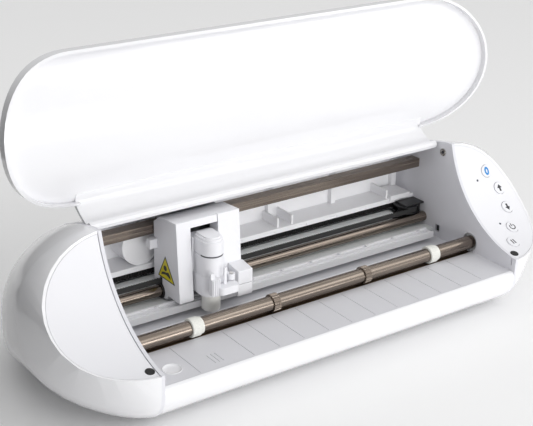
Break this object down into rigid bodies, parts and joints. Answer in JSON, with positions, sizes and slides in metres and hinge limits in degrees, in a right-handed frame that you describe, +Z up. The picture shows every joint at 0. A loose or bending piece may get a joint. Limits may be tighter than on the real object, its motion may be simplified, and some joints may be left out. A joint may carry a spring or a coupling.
{
  "type": "desktop vinyl cutter",
  "caption": "Desktop vinyl cutter with rounded end caps, a hinged curved lid, a cutting carriage on a rail, feed and pinch rollers and a button panel.",
  "frame": {"origin": "middle of the footprint on the surface it stands on, lid open as modelled", "axes": "+X along the cutting bay towards the buttons, -Y is the front, +Z up"},
  "size_m": [0.412, 0.1767, 0.2135],
  "materials": {
    "gloss_white": "glossy moulded",
    "panel_white": "satin moulded",
    "wall_grey": "fine matte moulded",
    "inner_white": "satin moulded",
    "tray_grey": "fine matte moulded",
    "deck_grey": "matte moulded",
    "bronze_steel": "dark plated, drawn along its length",
    "roller_bronze": "dark plated, fine grit",
    "bright_steel": "bright",
    "motor_steel": "satin",
    "pinch_white": "matte",
    "gear_white": "moulded",
    "black_rubber": "matte",
    "black_plastic": "moulded",
    "carriage_white": "satin moulded",
    "carriage_grey": "matte moulded",
    "cap_ivory": "satin moulded",
    "ring_grey": "matte",
    "sticker_yellow": "printed film",
    "board_green": "solder mask",
    "lens_grey": "clear smoked"
  },
  "bodies": {
    "root": {"bottom_shell": "gloss_white", "front_tray": "tray_grey", "rear_shell": "gloss_white", "left_cap_shell": "gloss_white", "right_cap_shell": "gloss_white", "left_panel": "panel_white", "right_panel": "panel_white", "left_side_wall": "wall_grey", "right_side_wall": "wall_grey", "back_panel": "inner_white", "platen": "tray_grey", "cutting_strip": "inner_white", "media_guide_rail": "inner_white", "guide_deck": "deck_grey", "guide_shaft": "bronze_steel", "upper_rail": "bronze_steel", "rubber_feet": "black_rubber", "lid_bumpers": "black_rubber", "wall_screws": "bright_steel", "feed_motor": "motor_steel", "pinch_bearings": "deck_grey", "carriage_motor": "motor_steel", "idler_bracket": "black_plastic", "drive_belt": "black_rubber", "circuit_board": "board_green", "port_plate": "black_plastic", "power_jack": "black_plastic", "usb_port": "bright_steel", "status_lenses": "lens_grey"},
    "lid": {"lid_shell": "gloss_white", "lid_hinge_pins": "bright_steel"},
    "drive": {"drive_roller": "roller_bronze", "roller_gear": "gear_white"},
    "feed_pinion": {"motor_pinion": "bright_steel"},
    "pinch": {"pinch_shaft": "bronze_steel", "pinch_rollers": "pinch_white", "collar_rings": "bronze_steel"},
    "carriage": {"carriage_cover": "carriage_white", "carriage_frame": "carriage_grey", "carriage_bushes": "black_plastic", "rail_shoe": "carriage_white", "belt_clamp": "black_plastic", "solenoid_cover": "carriage_white", "lift_block": "carriage_white", "hazard_sticker": "sticker_yellow"},
    "tool": {"tool_slide": "carriage_white", "tool_housing": "carriage_white", "marker_ring": "ring_grey", "blade": "bright_steel", "lever_pin": "bright_steel"},
    "depth_cap": {"depth_cap": "cap_ivory"},
    "lever": {"clamp_lever": "carriage_white"},
    "carriage_pulley": {"motor_pulley": "bright_steel"},
    "idler": {"idler_pulley": "black_plastic"},
    "wireless_key": {"wireless_button": "panel_white"},
    "feed_up_key": {"feed_up_button": "panel_white"},
    "feed_down_key": {"feed_down_button": "panel_white"},
    "power_key": {"power_button": "panel_white"},
    "pause_key": {"pause_button": "panel_white"}
  },
  "joints": [
    {"name": "lid_hinge", "type": "hinge", "parent": "root", "child": "lid", "pos_m": [0, 0.0036, 0.1048], "axis": [1, 0, 0], "range_deg": [0, 135]},
    {"name": "roller_turn", "type": "hinge", "parent": "root", "child": "drive", "pos_m": [0, -0.0395, 0.0276], "axis": [1, 0, 0], "continuous": true},
    {"name": "feed_pinion_turn", "type": "hinge", "parent": "root", "child": "feed_pinion", "pos_m": [0.1, -0.02235, 0.0276], "axis": [1, 0, 0], "continuous": true},
    {"name": "pinch_turn", "type": "hinge", "parent": "root", "child": "pinch", "pos_m": [0, -0.0411, 0.0396], "axis": [1, 0, 0], "continuous": true},
    {"name": "carriage_travel", "type": "slide", "parent": "root", "child": "carriage", "axis": [1, 0, 0], "range_m": [-0.049, 0.165]},
    {"name": "carriage_pulley_turn", "type": "hinge", "parent": "root", "child": "carriage_pulley", "pos_m": [-0.168, 0.0186, 0.05], "axis": [0, 0, 1], "continuous": true},
    {"name": "idler_turn", "type": "hinge", "parent": "root", "child": "idler", "pos_m": [0.136, 0.0186, 0.05], "axis": [0, 0, 1], "continuous": true},
    {"name": "tool_lift", "type": "slide", "parent": "carriage", "child": "tool", "axis": [0, 0, 1], "range_m": [-0.0034, 0], "stiffness_N_per_m": 250, "springref_m": 0.003},
    {"name": "depth_cap_turn", "type": "hinge", "parent": "tool", "child": "depth_cap", "pos_m": [-0.0705, -0.019, 0.045], "axis": [0, 0, 1], "range_deg": [0, 300]},
    {"name": "lever_swing", "type": "hinge", "parent": "tool", "child": "lever", "pos_m": [-0.0595, -0.0264, 0.056], "axis": [0, 0, 1], "range_deg": [0, 45]},
    {"name": "wireless_press", "type": "slide", "parent": "root", "child": "wireless_key", "axis": [0, 0.8581, -0.5135], "range_m": [0, 0.0006], "stiffness_N_per_m": 600, "springref_m": -0.0006},
    {"name": "feed_up_press", "type": "slide", "parent": "root", "child": "feed_up_key", "axis": [0, 0.7581, -0.6521], "range_m": [0, 0.0006], "stiffness_N_per_m": 600, "springref_m": -0.0006},
    {"name": "feed_down_press", "type": "slide", "parent": "root", "child": "feed_down_key", "axis": [0, 0.628, -0.7782], "range_m": [0, 0.0006], "stiffness_N_per_m": 600, "springref_m": -0.0006},
    {"name": "power_press", "type": "slide", "parent": "root", "child": "power_key", "axis": [0, 0.4664, -0.8846], "range_m": [0, 0.0006], "stiffness_N_per_m": 600, "springref_m": -0.0006},
    {"name": "pause_press", "type": "slide", "parent": "root", "child": "pause_key", "axis": [0, 0.3322, -0.9432], "range_m": [0, 0.0006], "stiffness_N_per_m": 600, "springref_m": -0.0006}
  ],
  "couplings": [
    {"joint": "feed_pinion_turn", "follows": "roller_turn", "ratio": -2.4},
    {"joint": "pinch_turn", "follows": "roller_turn", "ratio": -0.8},
    {"joint": "carriage_pulley_turn", "follows": "carriage_travel", "rad_per_m": 128.21},
    {"joint": "idler_turn", "follows": "carriage_travel", "rad_per_m": 128.21}
  ]
}
